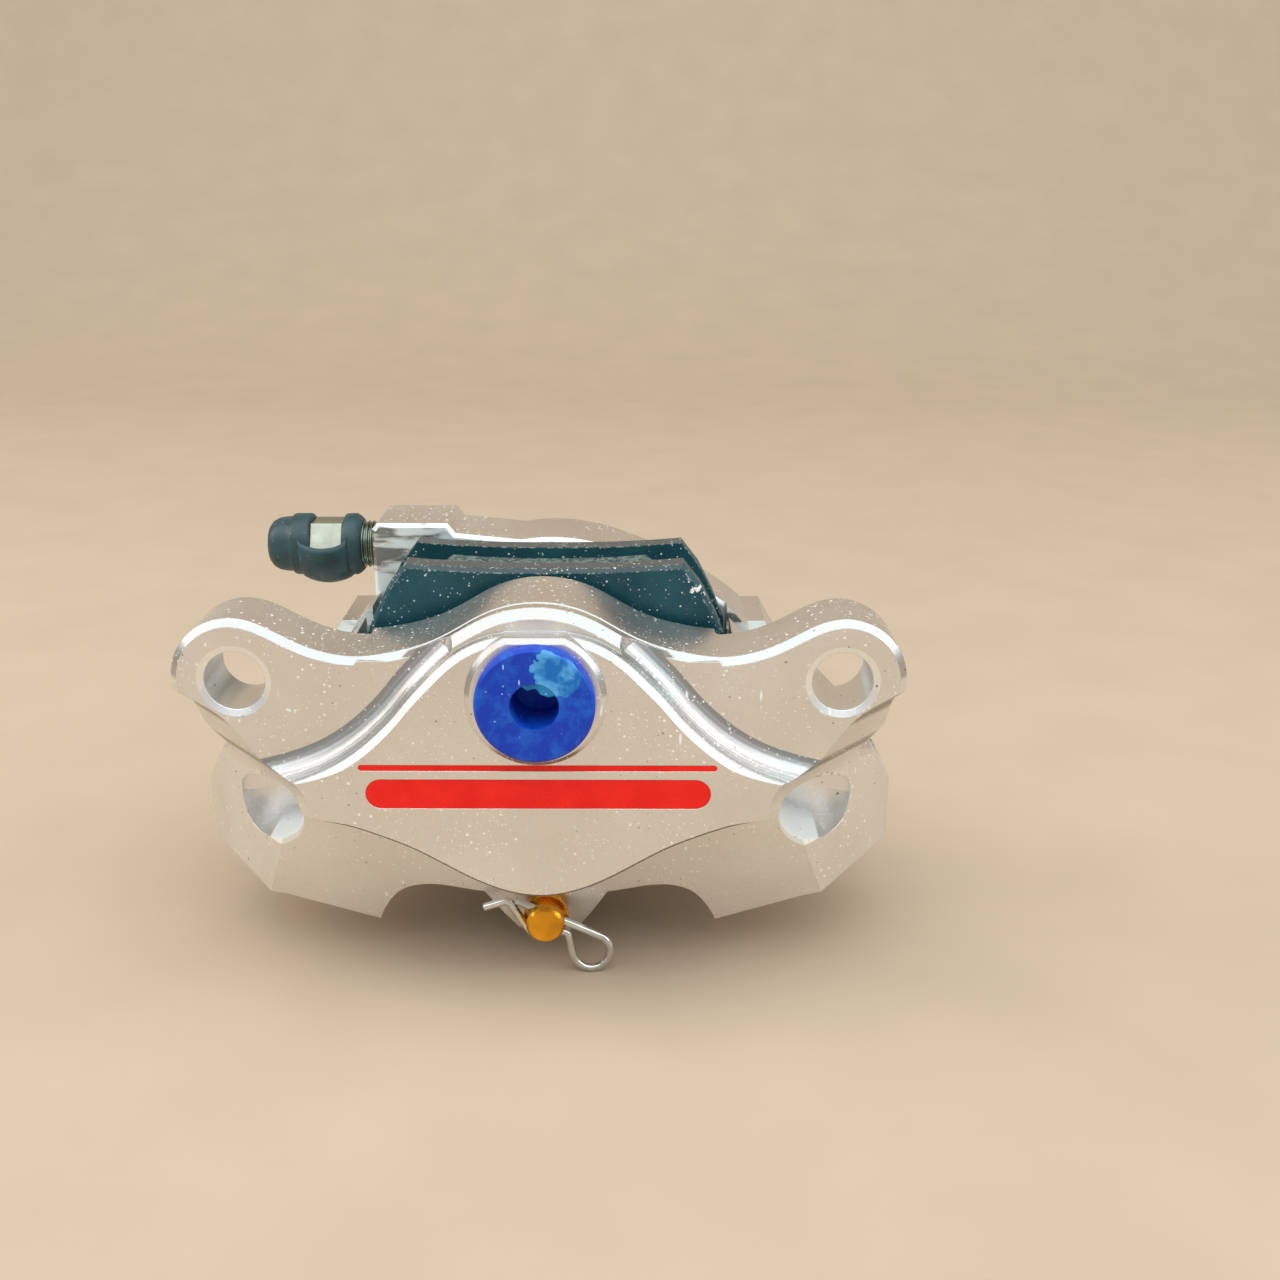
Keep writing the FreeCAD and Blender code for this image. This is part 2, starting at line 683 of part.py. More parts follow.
def leg_line():
    # The straight leg leaves the eye on this line and crosses the pin.
    a = math.radians(CLIP_LEG_ANGLE)
    touch = (CLIP_EYE[0] + CLIP_EYE_R * math.cos(a), CLIP_EYE[1] + CLIP_EYE_R * math.sin(a))
    end = (touch[0] - 13.8 * math.sin(a), touch[1] + 13.8 * math.cos(a))
    return touch, end


def clip_leg(extra):
    # Cross hole of the pin, along the straight leg of the clip.
    touch, end = leg_line()
    start = vec(touch[0], CLIP_Y, touch[1])
    run = vec(end[0], CLIP_Y, end[1]) - start
    return Part.makeCylinder(CLIP_WIRE_R + extra, run.Length, start, run)


def bent_wire(points, radii):
    # Round wire along straight runs with a round bend at each corner.
    path = []
    start = points[0]
    for i in range(1, len(points) - 1):
        corner = points[i]
        back = (points[i - 1] - corner).normalize()
        ahead = (points[i + 1] - corner).normalize()
        half = back.getAngle(ahead) / 2
        bend_r = radii[i - 1]
        trim = bend_r / math.tan(half)
        p0 = corner + back * trim
        p1 = corner + ahead * trim
        middle = corner + (back + ahead).normalize() * (bend_r / math.sin(half) - bend_r)
        path.append(Part.makeLine(start, p0))
        path.append(Part.Arc(p0, middle, p1).toShape())
        start = p1
    path.append(Part.makeLine(start, points[-1]))
    circle = Part.Circle(points[0], points[1] - points[0], CLIP_WIRE_R)
    profile = Part.Wire([circle.toShape()])
    return Part.Wire(path).makePipeShell([profile], True, False)


def pin_clip():
    # From the bent tail, under the pin, round the eye and back through the pin.
    wrap_r = PIN_R - 0.5 + CLIP_WIRE_R + 0.08
    wrap = around_circle((0, PIN_Z), wrap_r, (208, 300))
    eye = around_circle(CLIP_EYE, CLIP_EYE_R, (193, 255, 317, 379, 360 + CLIP_LEG_ANGLE))
    corners = [(-9.2, -37.5), (-5.6, -36.3)] + wrap + [(3.1, -41.0)] + eye + [leg_line()[1]]
    radii = [0.9, wrap_r - 0.03, 1.0] + [CLIP_EYE_R - 0.03] * len(eye)
    return bent_wire([vec(x, CLIP_Y, z) for x, z in corners], radii)


# ---- Inlet plug and stripe ----

def inlet_plug():
    flange = cyl_y(0, PORT_Z, PLUG_R, PLUG_FACE_Y + 0.4, BOSS_Y - 0.02)
    flange = flange.fuse(cone_y(0, PORT_Z, PLUG_R - 0.4, PLUG_R, PLUG_FACE_Y, PLUG_FACE_Y + 0.4))
    stem = cyl_y(0, PORT_Z, PORT_R - 0.06, BOSS_Y - 0.02, 0.6)
    plug = flange.fuse(stem)
    return plug.cut(cyl_y(0, PORT_Z, PLUG_HOLE_R, PLUG_FACE_Y - 1, -0.6)).removeSplitter()


def face_stripe():
    long_bar, wide_bar = stripe_shape(FACE_Y + 0.08, FACE_Y + 0.3)
    return Part.makeCompound([long_bar, wide_bar])


# ---- Bleed screw, cap and strap ----

def hexagon_x(y, z, across, x0, x1):
    r = across / 2 / math.cos(math.radians(30))
    points = []
    for i in range(6):
        a = math.radians(60 * i)
        points.append(vec(x0, y + r * math.cos(a), z + r * math.sin(a)))
    face = Part.Face(Part.makePolygon(points + [points[0]]))
    return face.extrude(vec(x1 - x0, 0, 0))


def bleed_screw():
    y = BLEED_Y
    z = BLEED_Z
    body = cyl_x(y, z, 3.38, -31.0, -18.5)
    body = body.fuse(Part.makeCone(1.7, 3.38, 1.6, vec(-16.95, y, z), vec(-1, 0, 0)))
    body = body.fuse(cyl_x(y, z, 3.0, -34.2, -31.0))
    body = body.fuse(hexagon_x(y, z, 7.9, -39.2, -34.2))
    body = body.fuse(cyl_x(y, z, 2.3, -40.4, -39.2))
    body = body.fuse(cyl_x(y, z, 3.0, -42.8, -40.4))
    body = body.fuse(cyl_x(y, z, 2.3, -44.3, -42.8))
    bore = cyl_x(y, z, 0.8, -46.0, -20.0)
    cross = Part.makeCylinder(0.7, 8.0, vec(-20.2, y, z - 4.0), vec(0, 0, 1))
    return body.cut([bore, cross]).removeSplitter()


def bleed_cap():
    y = BLEED_Y
    z = BLEED_Z
    cap = cyl_x(y, z, 5.0, -41.6, -39.3)
    cap = cap.fuse(cyl_x(y, z, 4.3, -44.4, -41.6))
    cap = cap.fuse(Part.makeCone(3.1, 4.3, 2.2, vec(-46.6, y, z), vec(1, 0, 0)))
    inside = cyl_x(y, z, 3.05, -44.5, -39.2)
    return cap.cut(inside).removeSplitter()


def cap_strap():
    y = BLEED_Y
    z = BLEED_Z
    neck = cyl_x(y, z, 5.0, -34.1, -31.1).cut(cyl_x(y, z, 3.05, -35, -30))
    band = box(-39.2, -34.0, y - 2.2, y + 2.2, z - 7.2, z - 5.6)
    post_a = box(-34.1, -32.5, y - 2.2, y + 2.2, z - 7.2, z - 3.6)
    return neck.fuse([band, post_a]).removeSplitter()


# ---- Bolts ----

def bridge_bolts():
    bolts = []
    for sx in (-1, 1):
        for bx, bz in BOLT_SPOTS:
            x = sx * bx
            shank = cyl_y(x, bz, BOLT_R - 0.03, BOLT_END_Y, BOLT_HEAD_Y + 0.02)
            head = cyl_y(x, bz, BOLT_HEAD_R, BOLT_HEAD_Y + 0.02, BOLT_HEAD_Y + 5.0)
            bolt = shank.fuse(head)
            r = 2.5 / math.cos(math.radians(30))
            pts = []
            for i in range(6):
                a = math.radians(60 * i)
                pts.append(vec(x + r * math.cos(a), BOLT_HEAD_Y + 2.4, bz + r * math.sin(a)))
            socket = Part.Face(Part.makePolygon(pts + [pts[0]])).extrude(vec(0, 5, 0))
            bolts.append(bolt.cut(socket).removeSplitter())
    return Part.makeCompound(bolts)


def build():
    rear_plate_y = 2 * PARTING_Y - PLATE_Y
    plate_in = PLATE_Y + PLATE_THICKNESS
    rear_in = rear_plate_y - PLATE_THICKNESS
    mouth_rear = REAR_INNER_Y
    nodes = {
        "front_half": front_half(),
        "rear_half": rear_half(),
        "front_piston": piston(PLATE_Y, 1),
        "rear_piston": piston(rear_plate_y, -1),
        "front_pressure_seal": pressure_seal(INNER_Y, 1),
        "rear_pressure_seal": pressure_seal(mouth_rear, -1),
        "front_dust_seal": dust_seal(INNER_Y, 1),
        "rear_dust_seal": dust_seal(mouth_rear, -1),
        "crossover_o_ring": crossover_o_ring(),
        "front_pad_plate": pad_plate(PLATE_Y, plate_in, PLATE_Y),
        "front_pad_lining": pad_lining(plate_in, plate_in + LINING_THICKNESS - 0.02),
        "rear_pad_plate": pad_plate(rear_in, rear_plate_y, rear_plate_y),
        "rear_pad_lining": pad_lining(rear_in - LINING_THICKNESS + 0.02, rear_in),
        "pad_spring": pad_spring(),
        "pad_pin": pad_pin(),
        "pin_clip": pin_clip(),
        "bridge_bolts": bridge_bolts(),
        "inlet_plug": inlet_plug(),
        "face_stripe": face_stripe(),
        "bleed_screw": bleed_screw(),
        "bleed_cap": bleed_cap(),
        "cap_strap": cap_strap(),
    }
    for name, shape in nodes.items():
        solids = len(shape.Solids)
        print(name, "solids", solids, "valid", shape.isValid(), "volume", round(shape.Volume, 1))
        shape.exportStep("parts/" + name + ".step")


build()
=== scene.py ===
import json
import math

import bmesh
import bpy
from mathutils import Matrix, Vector


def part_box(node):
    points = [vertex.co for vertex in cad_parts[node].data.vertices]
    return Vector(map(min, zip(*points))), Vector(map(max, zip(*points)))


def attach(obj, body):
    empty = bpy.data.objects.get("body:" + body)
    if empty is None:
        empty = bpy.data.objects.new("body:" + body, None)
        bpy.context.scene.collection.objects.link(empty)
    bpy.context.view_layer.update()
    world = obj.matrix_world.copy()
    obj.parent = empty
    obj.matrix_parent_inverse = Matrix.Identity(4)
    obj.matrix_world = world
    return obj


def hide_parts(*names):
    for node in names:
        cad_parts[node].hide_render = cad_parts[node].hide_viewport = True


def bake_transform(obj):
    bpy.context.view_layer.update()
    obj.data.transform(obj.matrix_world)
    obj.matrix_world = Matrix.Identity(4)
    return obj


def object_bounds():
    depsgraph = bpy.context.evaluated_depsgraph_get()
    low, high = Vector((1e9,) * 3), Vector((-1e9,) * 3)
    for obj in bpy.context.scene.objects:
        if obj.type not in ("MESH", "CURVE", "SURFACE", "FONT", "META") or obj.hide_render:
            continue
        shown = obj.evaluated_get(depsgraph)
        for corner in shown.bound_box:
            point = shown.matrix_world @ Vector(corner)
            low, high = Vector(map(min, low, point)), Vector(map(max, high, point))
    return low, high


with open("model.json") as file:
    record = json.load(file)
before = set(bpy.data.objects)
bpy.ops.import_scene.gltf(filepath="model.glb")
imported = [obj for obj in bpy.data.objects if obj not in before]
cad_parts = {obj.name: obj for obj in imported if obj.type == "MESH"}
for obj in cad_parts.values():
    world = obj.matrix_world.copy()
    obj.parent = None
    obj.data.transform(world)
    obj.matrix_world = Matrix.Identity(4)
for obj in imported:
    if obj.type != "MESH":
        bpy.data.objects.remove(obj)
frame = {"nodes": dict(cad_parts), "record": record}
CAD_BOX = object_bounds()
NODES = frame["nodes"]
MM = 0.001


# ---------------------------------------------------------------- places of marks, in metres

EAR_HOLE_X = 0.042
EAR_HOLE_MASK_R = 0.0053
POCKET_X = 0.0393
POCKET_Z = -0.0208
POCKET_MASK_R = 0.0054
POCKET_FLOOR_TILT = -0.22
POCKET_FLOOR_TOP = -0.0286
POCKET_FLOOR_FADE = -0.0292
MILLED_FROM_X = 0.004
MILLED_TO_X = 0.024
PLATE_FRONT_Y = 0.0160
PLATE_FADE_Y = 0.0165
FIRST_CHIP = (0.0222, 0.0088, 0.00055)
SECOND_CHIP = (0.0234, 0.0080, 0.00030)
CHIP_WANDER = 0.0012
PATCH_X = 0.0030
PATCH_Z = 0.0040
PATCH_R = 0.0030
PATCH_WANDER = 0.0022


# ---------------------------------------------------------------- material helpers

class Shader:
    """A small wrapper that adds nodes to one material."""

    def __init__(self, name):
        self.material = bpy.data.materials.new(name)
        self.material.use_nodes = True
        self.tree = self.material.node_tree
        self.bsdf = self.tree.nodes["Principled BSDF"]
        coords = self.tree.nodes.new("ShaderNodeTexCoord")
        self.coords = coords.outputs["Object"]
        self.normal = coords.outputs["Normal"]

    def node(self, kind, **values):
        made = self.tree.nodes.new(kind)
        for key, value in values.items():
            setattr(made, key, value)
        return made

    def link(self, a, b):
        self.tree.links.new(a, b)

    def set(self, **values):
        """Sets the shader's own sockets to one value each."""
        for key, value in values.items():
            self.bsdf.inputs[key.replace("_", " ")].default_value = value

    def use(self, socket, value):
        """Links a computed value into one of the shader's sockets."""
        self.link(value, self.bsdf.inputs[socket])

    def place(self, stretch, turn):
        made = self.node("ShaderNodeMapping")
        made.inputs["Scale"].default_value = stretch
        made.inputs["Rotation"].default_value = turn
        self.link(self.coords, made.inputs["Vector"])
        return made.outputs["Vector"]

    def noise_at(self, vector, scale, detail, rough):
        made = self.node("ShaderNodeTexNoise")
        made.inputs["Scale"].default_value = scale
        made.inputs["Detail"].default_value = detail
        made.inputs["Roughness"].default_value = rough
        self.link(vector, made.inputs["Vector"])
        return made.outputs["Fac"]

    def noise(self, scale, detail=4.0, rough=0.5, stretch=(1, 1, 1), turn=(0, 0, 0)):
        return self.noise_at(self.place(stretch, turn), scale, detail, rough)

    def profile_lines(self, facing, along, scale):
        """Fine lines that follow a curved wall: they depend on which way the wall faces."""
        spot = self.node("ShaderNodeCombineXYZ")
        self.link(facing, spot.inputs[0])
        self.link(self.times(along, 0.12), spot.inputs[1])
        return self.noise_at(spot.outputs[0], scale, 3.0, 0.5)

    def cells(self, scale, stretch=(1, 1, 1), turn=(0, 0, 0), output="Distance"):
        made = self.node("ShaderNodeTexVoronoi", feature="F1")
        made.inputs["Scale"].default_value = scale
        self.link(self.place(stretch, turn), made.inputs["Vector"])
        return made.outputs[output]

    def lines(self, scale, turn):
        made = self.node("ShaderNodeTexWave", bands_direction="X")
        made.inputs["Scale"].default_value = scale
        made.inputs["Distortion"].default_value = 1.0
        self.link(self.place((1, 1, 1), turn), made.inputs["Vector"])
        return made.outputs["Fac"]

    def axis(self, vector, letter):
        made = self.node("ShaderNodeSeparateXYZ")
        self.link(vector, made.inputs[0])
        return made.outputs[letter]

    def span(self, value, low, high, out_low=0.0, out_high=1.0):
        """Maps low..high onto out_low..out_high and holds the ends."""
        made = self.node("ShaderNodeMapRange")
        made.inputs["From Min"].default_value = low
        made.inputs["From Max"].default_value = high
        made.inputs["To Min"].default_value = out_low
        made.inputs["To Max"].default_value = out_high
        self.link(value, made.inputs["Value"])
        return made.outputs["Result"]

    def math(self, kind, a, b):
        made = self.node("ShaderNodeMath", operation=kind)
        for slot, value in zip(made.inputs, (a, b)):
            if isinstance(value, (int, float)):
                slot.default_value = value
            else:
                self.link(value, slot)
        return made.outputs[0]

    def times(self, a, b):
        return self.math("MULTIPLY", a, b)

    def most(self, a, b):
        return self.math("MAXIMUM", a, b)

    def mix(self, factor, a, b):
        """Mixes two colours, each a tuple or a computed colour."""
        made = self.node("ShaderNodeMix", data_type="RGBA")
        self.link(factor, made.inputs[0])
        for slot, value in ((made.inputs[6], a), (made.inputs[7], b)):
            if isinstance(value, tuple):
                slot.default_value = (*value, 1.0)
            else:
                self.link(value, slot)
        return made.outputs[2]

    def mix_values(self, factor, a, b):
        """Mixes two computed numbers."""
        made = self.node("ShaderNodeMix", data_type="FLOAT")
        for slot, value in zip((made.inputs[0], made.inputs[2], made.inputs[3]), (factor, a, b)):
            self.link(value, slot)
        return made.outputs[0]

    def bump(self, height, strength, distance, normal):
        made = self.node("ShaderNodeBump")
        made.inputs["Strength"].default_value = strength
        made.inputs["Distance"].default_value = distance
        self.link(height, made.inputs["Height"])
        self.link(normal, made.inputs["Normal"])
        return made.outputs["Normal"]

    def round_edges(self, radius):
        bevel = self.node("ShaderNodeBevel", samples=4)
        bevel.inputs["Radius"].default_value = radius
        return bevel.outputs["Normal"]

    def edge(self, rounded, reach):
        """1 on sharp edges, 0 on flat faces."""
        shape = self.node("ShaderNodeNewGeometry")
        dot = self.node("ShaderNodeVectorMath", operation="DOT_PRODUCT")
        self.link(rounded, dot.inputs[0])
        self.link(shape.outputs["Normal"], dot.inputs[1])
        return self.span(dot.outputs["Value"], 1.0, 1.0 - reach)

    def disc(self, x, z, middle_x, middle_z, radius):
        """1 inside a circle in the XZ plane, 0 outside it."""
        far = self.node("ShaderNodeCombineXYZ")
        self.link(self.math("SUBTRACT", x, middle_x), far.inputs[0])
        self.link(self.math("SUBTRACT", z, middle_z), far.inputs[2])
        size = self.node("ShaderNodeVectorMath", operation="LENGTH")
        self.link(far.outputs[0], size.inputs[0])
        return self.span(size.outputs["Value"], radius, radius * 0.97)

    def specks(self, scale, size, share, stretch=(1, 1, 1), turn=(0, 0, 0)):
        """Spots in loose crowds: size is their radius in cells, share how many cells have one."""
        spot = self.span(self.cells(scale, stretch, turn), size, size * 0.6)
        pick = self.axis(self.cells(scale, stretch, turn, "Color"), "X")
        crowd = self.span(self.noise(scale * 0.09, 2.0), 0.41, 0.52)
        return self.times(self.times(spot, crowd), self.span(pick, share, share * 0.98))


# ---------------------------------------------------------------- machined aluminium

class Aluminium:
    """Machined aluminium: satin flats, cut edges with painted reflection bands, shiny bores,
    pockets with painted reflection, painted shade on faces that look down, painted highlight and
    shade streaks when streaked, dust and pits.
    """

    def __init__(self, name, streaked):
        self.s = Shader(name)
        self.fine = self.s.noise(6500, 3.0)
        self.cloud = self.s.noise(55, 3.0)
        self.find_faces()
        self.find_pockets()
        tone = self.cut_faces(self.flat_faces())
        tone = self.painted_shade_under_faces(self.pocket_faces(tone))
        # Pocket floors and lit streaks carry painted light; together with the dust they are made
        # less metallic.
        dull = self.s.times(self.painted_reflection_floor, 0.8)
        if streaked:
            tone, lit = self.streaks(tone)
            dull = self.s.most(dull, lit)
        tone, dirt = self.dust(tone)
        dull = self.s.most(dull, dirt)
        self.s.use("Base Color", tone)
        self.s.use("Metallic", self.s.math("SUBTRACT", 1.0, self.s.times(dull, 0.85)))
        self.finish()

    def find_faces(self):
        """Masks by the way each face points."""
        s = self.s
        self.facing_y = s.axis(s.normal, "Y")
        self.facing_z = s.axis(s.normal, "Z")
        self.side = s.span(self.facing_y, -0.985, -0.965)
        self.flat = s.span(self.facing_y, -0.985, -0.998)
        not_flat = s.times(self.side, s.span(self.facing_y, -0.06, -0.14))
        self.cut = s.times(not_flat, s.span(self.facing_z, 0.02, 0.08))

    def find_pockets(self):
        """Masks of the ear holes' bores, the side pockets and the pockets' lower halves, which get
        a painted reflection.
        """
        s = self.s
        x = s.math("ABSOLUTE", s.axis(s.coords, "X"), 0.0)
        z = s.axis(s.coords, "Z")
        bore = s.times(s.disc(x, z, EAR_HOLE_X, 0.0, EAR_HOLE_MASK_R), self.side)
        self.pocket = s.times(s.disc(x, z, POCKET_X, POCKET_Z, POCKET_MASK_R), self.side)
        self.shiny = s.most(bore, self.pocket)
        tilt = s.math("ADD", z, s.times(x, POCKET_FLOOR_TILT))
        low = s.span(tilt, POCKET_FLOOR_TOP, POCKET_FLOOR_FADE)
        self.painted_reflection_floor = s.times(self.pocket, low)

    def flat_faces(self):
        """Warm satin grey with soft clouds and a fine grain."""
        s = self.s
        tone = s.mix(s.span(self.cloud, 0.35, 0.65), (0.80, 0.785, 0.765), (0.87, 0.865, 0.85))
        return s.mix(s.span(self.fine, 0.35, 0.8, 0.0, 0.35), tone, (0.60, 0.57, 0.53))

    def cut_faces(self, tone):
        """Chamfers and coves: tool lines along them, coloured as dark and cool pale bands of
        painted reflection that follow the way each wall faces.
        """
        s = self.s
        self.ribs = s.profile_lines(self.facing_y, s.axis(s.coords, "X"), 9.0)
        hue = s.noise(95, 2.0)
        pale = s.mix(s.span(hue, 0.42, 0.58), (0.60, 0.585, 0.59), (0.56, 0.64, 0.655))
        # Painted reflection: dark and cool pale bands stand for the room and the light above
        # mirrored in the chamfers.
        band = s.mix(s.span(self.ribs, 0.36, 0.62), (0.36, 0.345, 0.32), pale)
        return s.mix(self.cut, tone, band)

    def pocket_faces(self, tone):
        """Bright bores and pockets; cutter steps above each pocket's floor, coloured as a painted
        reflection of the table; each floor painted near-white as a reflection of the light above.
        """
        s = self.s
        tone = s.mix(self.shiny, tone, (0.93, 0.95, 0.96))
        ripple = s.span(s.noise(1500, 1.0, stretch=(0.1, 1, 1)), 0.5, 0.6)
        steps = s.times(s.math("SUBTRACT", self.pocket, self.painted_reflection_floor), ripple)
        # Painted reflection: the cutter steps in each pocket's upper half take the brown of the
        # table below.
        tone = s.mix(s.times(steps, 0.6), tone, (0.45, 0.40, 0.33))
        # Painted reflection: each pocket's up-facing lower half is painted near-white and cool.
        return s.mix(self.painted_reflection_floor, tone, (0.93, 0.99, 1.0))

    def painted_shade_under_faces(self, tone):
        """Painted shade: slanted faces that look down are darkened to brown."""
        s = self.s
        # Painted shade on slanted faces that look down.
        under = s.times(self.side, s.span(self.facing_z, -0.5, -0.6))
        painted_shade_on_slants = s.times(under, s.span(self.facing_y, -0.3, -0.45))
        return s.mix(painted_shade_on_slants, tone, (0.30, 0.27, 0.22))

    def streaks(self, tone):
        """Milling streaks on the faces toward the front, painted as lit and shaded streaks: painted
        highlight and painted shade.
        """
        s = self.s
        turn = (0, math.radians(32), 0)
        streak = s.noise(330, 3.0, 0.6, stretch=(0.22, 0.2, 1.0), turn=turn)
        front = s.span(self.facing_y, -0.4, -0.7)
        lit = s.times(s.span(streak, 0.40, 0.50), front)
        shade = s.times(s.span(streak, 0.46, 0.40), front)
        # Painted highlight: lit streaks are pale and made less metallic; painted shade: dark
        # streaks.
        tone = s.mix(lit, tone, (0.80, 0.90, 0.89))
        return s.mix(s.times(shade, 0.8), tone, (0.20, 0.24, 0.24)), lit

    def dust(self, tone):
        """White dust and swarf, and small dark pits."""
        s = self.s
        swarf = s.specks(430, 0.10, 0.9, stretch=(1.0, 1.0, 0.22), turn=(0.3, 0.5, 0.2))
        self.white = s.most(s.most(s.specks(760, 0.18, 0.9), swarf), s.specks(1700, 0.22, 0.6))
        dark = s.most(s.specks(300, 0.07, 0.40), s.specks(800, 0.13, 0.22))
        tone = s.mix(s.times(self.white, 0.9), tone, (1.0, 0.99, 0.96))
        tone = s.mix(s.times(dark, 0.8), tone, (0.12, 0.09, 0.07))
        return tone, s.most(self.white, dark)

    def finish(self):
        """Roughness and relief: grain, tool marks, diagonal milling lines and dust."""
        s = self.s
        grainy = s.span(self.fine, 0.3, 0.7, 0.0, 0.08)
        satin = s.math("ADD", grainy, s.span(self.cloud, 0.3, 0.7, 0.28, 0.35))
        bright = s.span(self.ribs, 0.3, 0.7, 0.26, 0.40)
        s.use("Roughness", s.mix_values(s.most(self.cut, self.shiny), satin, bright))
        grain = s.bump(self.fine, 0.12, 0.00003, s.round_edges(0.00016))
        scratches = s.noise(3000, 2.0, stretch=(1, 0.04, 0.04))
        tool_marks = s.times(s.math("ADD", self.ribs, scratches), self.cut)
        marked = s.bump(tool_marks, 0.18, 0.00006, grain)
        zone = s.times(self.flat, s.span(s.axis(s.coords, "X"), MILLED_FROM_X, MILLED_TO_X))
        diagonal = s.times(s.lines(1050, (0, math.radians(48), 0)), zone)
        relief = s.math("ADD", diagonal, s.times(self.white, 3.0))
        s.use("Normal", s.bump(relief, 0.14, 0.00003, marked))


def aluminium(name, streaked):
    return Aluminium(name, streaked).s.material


# ---------------------------------------------------------------- other materials

def turned_metal(name, color, rough, grain=0.12):
    """Drawn or turned metal with dull clouds and a few dust specks."""
    s = Shader(name)
    s.set(Metallic=1.0)
    fine = s.noise(2600, 3.0)
    cloud = s.noise(260, 3.0)
    dull = tuple(v * 0.6 for v in color)
    tone = s.mix(s.span(cloud, 0.3, 0.7), dull, color)
    s.use("Base Color", s.mix(s.specks(1300, 0.14, 0.10), tone, (0.9, 0.88, 0.85)))
    s.use("Roughness", s.span(fine, 0.3, 0.7, rough - 0.05, rough + 0.08))
    s.use("Normal", s.bump(fine, grain, 0.00004, s.round_edges(0.00012)))
    return s.material


def paint_chips(s):
    """Small chips all over, and two bare spots at the right end of the front plate."""
    chips = s.most(s.specks(620, 0.12, 0.8), s.specks(1600, 0.2, 0.7))
    chips = s.most(chips, s.specks(150, 0.08, 0.35, stretch=(1, 1, 0.5)))
    wander = s.span(s.noise(1400, 2.0), 0.0, 1.0, -CHIP_WANDER, CHIP_WANDER)
    x = s.math("ADD", s.axis(s.coords, "X"), wander)
    z = s.math("ADD", s.axis(s.coords, "Z"), wander)
    bare = s.most(s.disc(x, z, *FIRST_CHIP), s.disc(x, z, *SECOND_CHIP))
    front = s.span(s.axis(s.coords, "Y"), PLATE_FADE_Y, PLATE_FRONT_Y)
    return s.most(chips, s.times(bare, front))


def dark_paint():
    """Pad backing plates: dark blue-green paint, greyer on faces that look up, worn on the edges,
    with chips.
    """
    s = Shader("pad_plate")
    up = s.span(s.axis(s.normal, "Z"), 0.55, 0.85)
    grit = s.noise(2300, 4.0, 0.7)
    cloud = s.noise(120, 3.0)
    tone = s.mix(s.span(cloud, 0.35, 0.65), (0.004, 0.048, 0.064), (0.010, 0.074, 0.092))
    tone = s.mix(s.span(grit, 0.62, 0.72, 0.0, 0.35), tone, (0.10, 0.16, 0.17))
    # Faces that look up are made greyer.
    tone = s.mix(s.times(up, 0.85), tone, (0.085, 0.082, 0.078))
    worn = s.times(s.edge(s.round_edges(0.0003), 0.05), s.span(s.noise(1500, 2.0), 0.52, 0.60))
    tone = s.mix(s.times(worn, 0.8), tone, (0.55, 0.56, 0.54))
    s.use("Base Color", s.mix(s.times(paint_chips(s), 0.9), tone, (0.85, 0.84, 0.80)))
    s.set(Specular_IOR_Level=0.32)
    s.use("Roughness", s.span(grit, 0.3, 0.7, 0.34, 0.52))
    s.use("Normal", s.bump(grit, 0.35, 0.00006, s.round_edges(0.0003)))
    return s.material


def friction():
    """Pad linings: granular compound with pale and dark grains."""
    s = Shader("pad_lining")
    grain = s.cells(1900)
    pick = s.axis(s.cells(1900, output="Color"), "Y")
    tone = s.mix(s.span(pick, 0.2, 0.8), (0.035, 0.060, 0.056), (0.15, 0.19, 0.17))
    s.use("Base Color", s.mix(s.specks(1500, 0.26, 0.35), tone, (0.42, 0.40, 0.34)))
    s.set(Roughness=0.85)
    s.use("Normal", s.bump(grain, 0.8, 0.00016, s.round_edges(0.0003)))
    return s.material


def rubber(name, color, rough):
    """Moulded rubber with soft pale clouds and dust."""
    s = Shader(name)
    cloud = s.noise(300, 4.0)
    grit = s.noise(4200, 3.0)
    pale = tuple(v * 1.7 for v in color)
    tone = s.mix(s.span(cloud, 0.35, 0.7), color, pale)
    s.use("Base Color", s.mix(s.specks(1300, 0.15, 0.35), tone, (0.30, 0.32, 0.30)))
    s.use("Roughness", s.span(cloud, 0.3, 0.7, rough - 0.06, rough + 0.08))
    s.use("Normal", s.bump(grit, 0.15, 0.00004, s.round_edges(0.00025)))
    return s.material


def stressed_patch(s, tone):
    """Pale stressed plastic at the upper right of the plug's front face."""
    wander = s.span(s.noise(380, 2.0), 0.0, 1.0, -PATCH_WANDER, PATCH_WANDER)
    x = s.math("ADD", s.axis(s.coords, "X"), wander)
    z = s.math("SUBTRACT", s.axis(s.coords, "Z"), wander)
    front = s.span(s.axis(s.normal, "Y"), -0.5, -0.8)
    pale = s.mix(s.span(s.noise(420, 3.0), 0.42, 0.6), (0.006, 0.16, 0.55), (0.10, 0.42, 0.85))
    return s.mix(s.times(s.disc(x, z, PATCH_X, PATCH_Z, PATCH_R), front), tone, pale)


